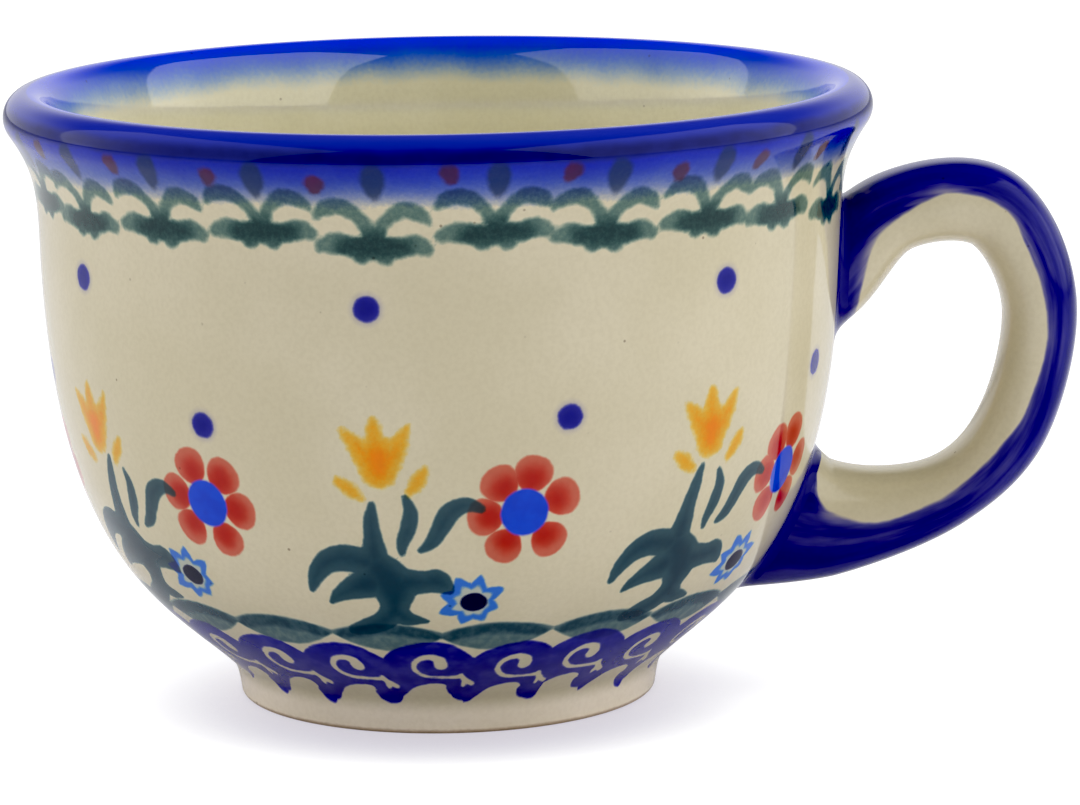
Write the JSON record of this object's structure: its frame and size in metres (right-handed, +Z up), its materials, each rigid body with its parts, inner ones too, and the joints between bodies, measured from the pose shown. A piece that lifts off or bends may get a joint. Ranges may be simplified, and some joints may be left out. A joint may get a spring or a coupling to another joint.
{
  "type": "footed stoneware cup",
  "caption": "Rounded hand-decorated stoneware coffee cup with a flared rolled rim, a low foot ring and a strap handle luted to one side.",
  "frame": {"origin": "on the surface the cup stands on, under the middle of the bounding box", "axes": "+Z up out of the cup's mouth, +X towards the handle, +Y across the cup"},
  "size_m": [0.1324, 0.107, 0.0763],
  "materials": {
    "decorated_glaze": "clear gloss glaze over cream stoneware with stamped underglaze flowers, leaves, waves and a cobalt rim",
    "foot_glaze": "gloss cream glaze that stops short of a bare bisque edge underneath",
    "handle_glaze": "gloss glaze over brushed cobalt with a cream panel on the finger side",
    "joint_glaze": "gloss glaze over brushed cobalt slip"
  },
  "bodies": {
    "root": {"cup_body": "decorated_glaze", "foot_ring": "foot_glaze", "handle": "handle_glaze", "handle_upper_slip_joint": "joint_glaze", "handle_lower_slip_joint": "joint_glaze"}
  },
  "joints": []
}
